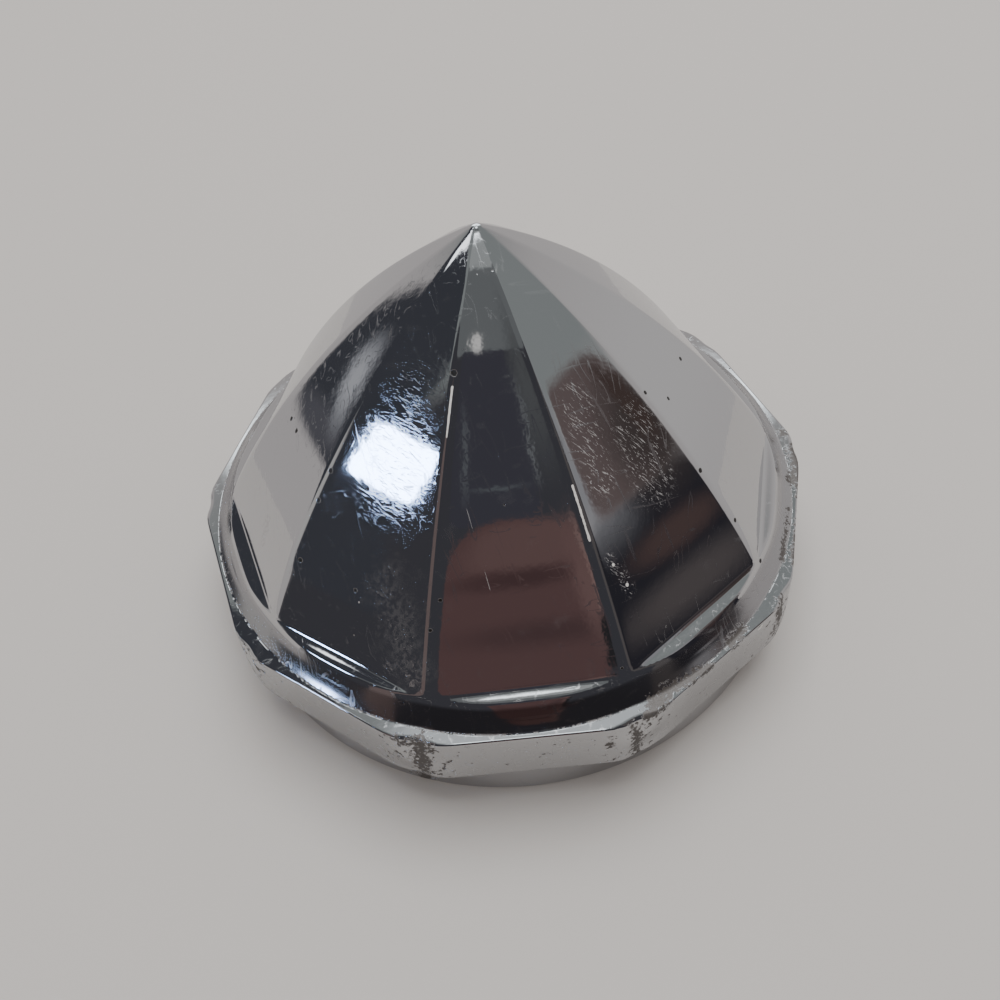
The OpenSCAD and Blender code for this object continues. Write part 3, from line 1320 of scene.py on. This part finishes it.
@dataclass(frozen=True)
class Patch:
    """A soft-edged patch on the screen, in degrees of azimuth and elevation.

    A squareness of 2 makes it an oval and 20 nearly a rectangle. The lean is the degrees that it moves to the
    right for each degree upwards.
    """

    azimuth: float
    elevation: float
    half_width: float
    half_height: float
    color: Color
    squareness: float = 6
    soft: float = 0.08
    lean: float = 0

    def mask(self, azimuth: Signal, elevation: Signal) -> Signal:
        """Draw the patch.

        Args:
            azimuth: Degrees from straight ahead of the nut, positive to the right.
            elevation: Degrees above the screen's centre.

        Returns:
            1 inside the patch and 0 outside it.
        """
        up = elevation - self.elevation
        across = azimuth - self.azimuth
        if self.lean:
            across = across - up * self.lean
        wide, tall = abs(across) * (1 / self.half_width), abs(up) * (1 / self.half_height)
        if self.squareness == 2:
            spread = (wide * wide + tall * tall).math("SQRT")
        else:
            power = self.squareness
            spread = (wide.math("POWER", power) + tall.math("POWER", power)).math("POWER", 1 / power)
        return spread.step(1 + self.soft, 1 - self.soft)


SCREEN_PATCHES = (
    Patch(-7, 18, 59, 43.5, (0.057, 0.057, 0.066), 14, 0.03),              # broad dark panel in front
    Patch(-94.5, 33, 31.1, 30.5, (0.055, 0.058, 0.070), 20, 0.03, -0.33),  # dark panel on the left
    Patch(-112, 5, 3.5, 3, (0.10, 0.10, 0.115), 2, 0.6),
    Patch(-114.8, 14.5, 1.1, 6, (0.46, 0.47, 0.50), 2, 0.8, -0.5),         # pale line in it
    Patch(-86, 10, 9, 15, (0.52, 0.51, 0.50), 4, 0.3),                     # pale gap between them
    Patch(-42, 20, 5.5, 34, (0.17, 0.13, 0.125), 6, 0.1),
    Patch(43, 20, 5.5, 34, (0.11, 0.10, 0.10), 6, 0.1),
    Patch(116, 8, 26, 16, (0.58, 0.565, 0.56), 2, 0.9),                    # paler wall on the right
    Patch(58, -1.5, 13, 20.5, (0.028, 0.027, 0.034), 8, 0.12),             # black panel on the right
    Patch(57.5, 31, 5, 15, (0.30, 0.30, 0.315), 3, 0.5),
    Patch(67, 29.5, 5.4, 12, (0.145, 0.113, 0.11), 6, 0.12, 0.3),          # brown panel on the right
    Patch(69.6, 25.2, 4.3, 10, (0.066, 0.054, 0.052), 2, 0.7, 0.3),
    Patch(71.3, 31, 0.9, 8, (0.07, 0.05, 0.045), 3, 0.4, 0.28),
    Patch(63, 7.5, 5, 3, (0.085, 0.058, 0.055), 2, 0.6),
    Patch(61, -2, 8, 3.8, (0.095, 0.083, 0.083), 2, 0.7),
    Patch(0.5, 68, 60, 7.5, (0.16, 0.17, 0.175), 6, 0.05),                 # grey ceiling in front
    Patch(-98, 61, 6, 4.6, (2.6, 2.7, 2.8), 4, 0.2),                       # small lamp on the left
    Patch(0.5, 45.2, 5.1, 15.6, (0.058, 0.057, 0.072), 14, 0.02),          # black card in front
    Patch(0.4, 62.3, 0.9, 1.6, (0.75, 0.74, 0.72), 2, 0.6),
    Patch(-2.2, 43, 0.25, 7, (0.13, 0.14, 0.15), 3, 0.7, 0.02),            # faint lights in its gloss
    Patch(1.4, 36, 2.4, 0.35, (0.11, 0.12, 0.13), 3, 0.8),
    Patch(5.9, 46, 0.2, 9, (0.20, 0.21, 0.22), 4, 0.4),                    # its bright rim
    Patch(7.4, 54, 1.4, 12, (0.10, 0.104, 0.108), 2, 0.9),
    Patch(1.1, 0, 8.3, 30, (0.118, 0.070, 0.069), 3, 0.02, 0.045),         # brown panel in front
    # Painted light and shade of the cloth: a lit upper fold, shadows of two folds across it, and a lit right
    # edge.
    Patch(3.4, 25, 5.6, 4.4, (0.145, 0.090, 0.086), 3, 0.3, 0.3),          # its paler top
    Patch(2.5, 19, 6, 1.6, (0.078, 0.046, 0.047), 2, 0.8, 0.6),            # dark bands across it
    Patch(4, 8.5, 7, 2.2, (0.086, 0.052, 0.053), 2, 0.9),
    Patch(8.4, 16, 0.9, 9, (0.17, 0.105, 0.10), 2, 0.9, -0.06),            # its paler right edge
    Patch(9.1, 19, 0.22, 9.5, (0.26, 0.17, 0.155), 4, 0.6, -0.06),
    Patch(9.8, 5.5, 0.65, 5, (0.027, 0.027, 0.030), 4, 0.2),
    Patch(-62.6, 29, 3.9, 5.3, (11.0, 15.4, 25.0), 7, 0.03, -0.16),        # bright light on the left
)


@dataclass(frozen=True)
class Studio:
    """Floor, screen, lamp and the world round the nut."""

    room_color: Color = (0.53, 0.50, 0.49)
    floor_size: float = 10.0
    floor_color: Color = (0.62, 0.60, 0.575)
    mirrored_floor_color: Color = (0.50, 0.485, 0.47)
    floor_rough: float = 0.9
    floor_gloss: float = 0.1
    screen_radius: float = 170 * MM
    screen_height: float = 20 * MM
    screen_rim: float = 1 * MM
    screen_cut: float = 45.0
    screen_columns: int = 96
    screen_rings: int = 48
    screen_strength: float = 32.0
    wall_color: Color = (0.51, 0.485, 0.48)
    ceiling_color: Color = (0.27, 0.29, 0.29)
    zenith_color: Color = (0.38, 0.40, 0.40)
    back_ceiling_color: Color = (0.66, 0.70, 0.72)
    lamp_color: Color = (2.6, 2.8, 2.9)
    ceiling_from: tuple[float, float] = (28, 44)
    zenith_from: tuple[float, float] = (70, 77)
    back_from: tuple[float, float] = (110, 140)
    back_ceiling_from: tuple[float, float] = (67, 71)
    overhead_from: tuple[float, float] = (79.5, 82)
    behind_from: tuple[float, float] = (140, 146)
    behind_heights: Point = (33, 66, 4)
    lamp_place: Point = (0.1, 0.25, 1.1)
    lamp_target: Point = (0, 0, 0.02)
    lamp_size: float = 0.9
    lamp_power: float = 10.6

    def build(self) -> None:
        """Make everything that isn't the object."""
        self.build_world()
        self.build_floor()
        self.build_screen()
        self.build_lamp()

    def build_world(self) -> None:
        """Make the pale room."""
        world = bpy.data.worlds.new("pale_room")
        bpy.context.scene.world = world
        finish = Finish(world)
        finish.surface(finish.node("ShaderNodeBackground", {}, {"Color": self.room_color, "Strength": 1.0}))

    def build_floor(self) -> None:
        """Make the pale table top, with painted shade that makes it darker where the nut mirrors it."""
        deselect_all()
        bpy.ops.mesh.primitive_plane_add(size=self.floor_size)
        floor = take_new("floor")
        material = bpy.data.materials.new("table_top")
        finish = Finish(material)
        # Painted shade: the table top is darker in the nut's reflections than where it is seen directly.
        mirrored = finish.node("ShaderNodeLightPath", {}, {}, "Is Glossy Ray")
        finish.surface(finish.node("ShaderNodeBsdfPrincipled", {}, {
            "Base Color": finish.blend(mirrored, self.floor_color, self.mirrored_floor_color),
            "Roughness": self.floor_rough, "Specular IOR Level": self.floor_gloss}))
        dress(floor, material)

    def build_screen(self) -> None:
        """Make the round screen that only the nut's reflections show."""
        deselect_all()
        bpy.ops.mesh.primitive_uv_sphere_add(
            segments=self.screen_columns, ring_count=self.screen_rings, radius=self.screen_radius)
        screen = take_new("reflection_screen")
        screen.location = (0, 0, self.screen_height)
        bpy.ops.object.mode_set(mode="EDIT")
        bpy.ops.mesh.select_all(action="SELECT")
        cut = self.screen_height - self.screen_radius * math.sin(math.radians(self.screen_cut))
        bpy.ops.mesh.bisect(plane_co=(0, 0, cut), plane_no=(0, 0, 1), clear_inner=True)
        bpy.ops.mesh.select_all(action="SELECT")
        bpy.ops.mesh.flip_normals()
        bpy.ops.object.mode_set(mode="OBJECT")
        points = coordinates(screen.data)
        points[:, 2] = np.maximum(points[:, 2], self.screen_rim - self.screen_height)
        place(screen.data, points)
        screen.visible_camera = screen.visible_diffuse = False
        screen.visible_shadow = screen.visible_transmission = False
        material = bpy.data.materials.new("screen_panels")
        # Found by the mirrored rays alone, as the screen lights nothing else
        material.cycles.emission_sampling = "NONE"
        finish = Finish(material)
        across, ahead, high = finish.axes(finish.place_on_object())
        to_degrees = 180 / math.pi
        azimuth = across.math("ARCTAN2", ahead * -1) * to_degrees
        elevation = high.math("ARCTAN2", (across * across + ahead * ahead).math("SQRT")) * to_degrees
        finish.surface(finish.node("ShaderNodeEmission", {}, {
            "Color": self.screen_color(finish, azimuth, elevation), "Strength": self.screen_strength}))
        dress(screen, material)

    def screen_color(self, finish: Finish, azimuth: Signal, elevation: Signal) -> Signal:
        """Colour of the screen over its azimuth and elevation.

        Args:
            finish: The screen's node tree.
            azimuth: Degrees from straight ahead of the nut, positive to the right.
            elevation: Degrees above the screen's centre.

        Returns:
            The colour.
        """
        sideways = abs(azimuth)
        back_ceiling = sideways.step(*self.back_from) * elevation.step(*self.back_ceiling_from)
        behind = sideways.step(*self.behind_from) * elevation.band(*self.behind_heights)
        color: Value = self.lit(self.wall_color)
        for cover, tint in (
            (elevation.step(*self.ceiling_from), self.ceiling_color),
            (elevation.step(*self.zenith_from), self.zenith_color),
            *((patch.mask(azimuth, elevation), patch.color) for patch in SCREEN_PATCHES),
            (back_ceiling, self.back_ceiling_color),
            (elevation.step(*self.overhead_from).most(behind), self.lamp_color),
        ):
            color = finish.blend(cover, color, self.lit(tint))
        return color

    def lit(self, color: Color) -> Color:
        """Return a colour as a share of the screen's strength."""
        red, green, blue = color
        return red / self.screen_strength, green / self.screen_strength, blue / self.screen_strength

    def build_lamp(self) -> None:
        """Hang a large soft lamp overhead."""
        deselect_all()
        bpy.ops.object.light_add(type="AREA", location=self.lamp_place)
        lamp = take_new("overhead_softbox")
        lamp.data.shape = "SQUARE"
        lamp.data.size = self.lamp_size
        lamp.data.energy = self.lamp_power
        way = Vector(self.lamp_target) - lamp.location
        lamp.rotation_euler = way.to_track_quat("-Z", "Y").to_euler()


def main() -> None:
    """Build the camera, the studio and the nut, and report each piece."""
    logging.basicConfig(level=logging.INFO, format="%(message)s")
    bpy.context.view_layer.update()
    PhotoCamera().build()
    Studio().build()
    skin = NutSkin().build()
    thread = HubThread().build()
    dress(skin, ChromePlate().build(), CastMetal().build())
    dress(thread, ThreadMetal().build())
    for piece in (skin, thread):
        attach(piece, BODY)
        log.info("%s: %d faces", piece.name, len(piece.data.polygons))
    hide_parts(NODE)


if __name__ == "__main__":
    main()
